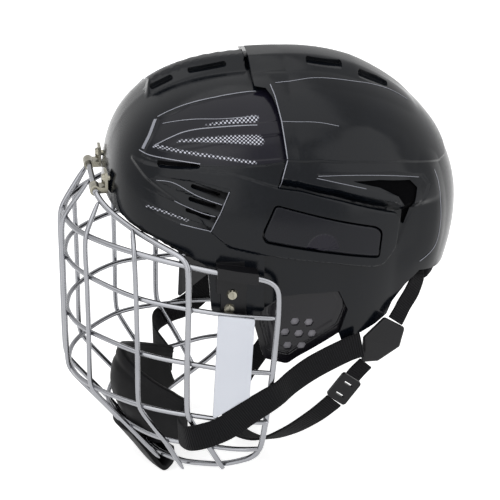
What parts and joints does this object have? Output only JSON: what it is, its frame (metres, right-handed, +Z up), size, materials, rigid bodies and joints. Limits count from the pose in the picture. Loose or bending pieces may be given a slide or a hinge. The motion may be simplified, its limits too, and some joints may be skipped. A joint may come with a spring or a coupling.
{
  "type": "ice hockey helmet with face cage",
  "caption": "Two-piece hard shell sport helmet with a hinged wire face cage, padded inside, with ear guards, chin cup and straps.",
  "frame": {"origin": "middle of the head opening on the mirror plane, at the level of the temples", "axes": "+Z up to the crown, -Y towards the face, +X towards the wearer's left"},
  "size_m": [0.2128, 0.2914, 0.3196],
  "materials": {
    "shell_plastic": "gloss black shell plastic",
    "smoked_plastic": "smoked clear plastic",
    "black_plastic": "satin black plastic",
    "foam": "closed cell foam",
    "wire_steel": "satin plated steel wire",
    "pin_steel": "plain steel",
    "zinc": "yellow zinc plate",
    "plate_plastic": "pale grey sheet plastic",
    "cup_rubber": "soft moulded chin cup",
    "webbing": "woven polyester webbing"
  },
  "bodies": {
    "front": {"front_shell": "shell_plastic", "forehead_pad": "foam", "crown_pad": "foam", "temple_pad_left": "foam", "temple_pad_right": "foam", "top_clip_left": "zinc", "top_clip_right": "zinc", "top_clip_screws": "zinc", "j_clip_left": "black_plastic", "j_clip_right": "black_plastic", "j_clip_screws": "zinc", "latch_base_left": "black_plastic", "latch_base_right": "black_plastic", "latch_pin_left": "pin_steel", "latch_pin_right": "pin_steel"},
    "rear": {"rear_shell": "shell_plastic", "occipital_pad": "foam", "rear_crown_pad": "foam", "side_pad_left": "foam", "side_pad_right": "foam", "ear_guard_left": "smoked_plastic", "ear_guard_right": "smoked_plastic", "rear_strap_left": "webbing", "rear_strap_right": "webbing", "strap_connector_left": "black_plastic", "strap_connector_right": "black_plastic", "hanger_left": "webbing", "hanger_right": "webbing", "strap_glide_left": "black_plastic", "strap_glide_right": "black_plastic", "chin_strap": "webbing"},
    "cage": {"cage_top_bar": "wire_steel", "cage_brow_frame": "wire_steel", "cage_uprights": "wire_steel", "cage_crossbars": "wire_steel", "cage_outer_frame": "wire_steel", "cage_plate_left": "plate_plastic", "cage_plate_right": "plate_plastic", "chin_cup": "cup_rubber", "cage_strap_left": "webbing", "cage_strap_right": "webbing"},
    "latch_left": {"latch_lid_left": "shell_plastic"},
    "latch_right": {"latch_lid_right": "shell_plastic"}
  },
  "joints": [
    {"name": "cage_hinge", "type": "hinge", "parent": "front", "child": "cage", "pos_m": [0, -0.137, 0.0274], "axis": [-1, 0, 0], "range_deg": [0, 120]},
    {"name": "size_slide", "type": "slide", "parent": "front", "child": "rear", "axis": [0, 1, 0], "range_m": [0, 0.008]},
    {"name": "latch_left_hinge", "type": "hinge", "parent": "front", "child": "latch_left", "pos_m": [0.0938, 0.017, 0.0226], "axis": [0.0354, -0.9518, 0.3046], "range_deg": [0, 80]},
    {"name": "latch_right_hinge", "type": "hinge", "parent": "front", "child": "latch_right", "pos_m": [-0.0938, 0.017, 0.0226], "axis": [0.0354, 0.9518, -0.3046], "range_deg": [0, 80]}
  ]
}
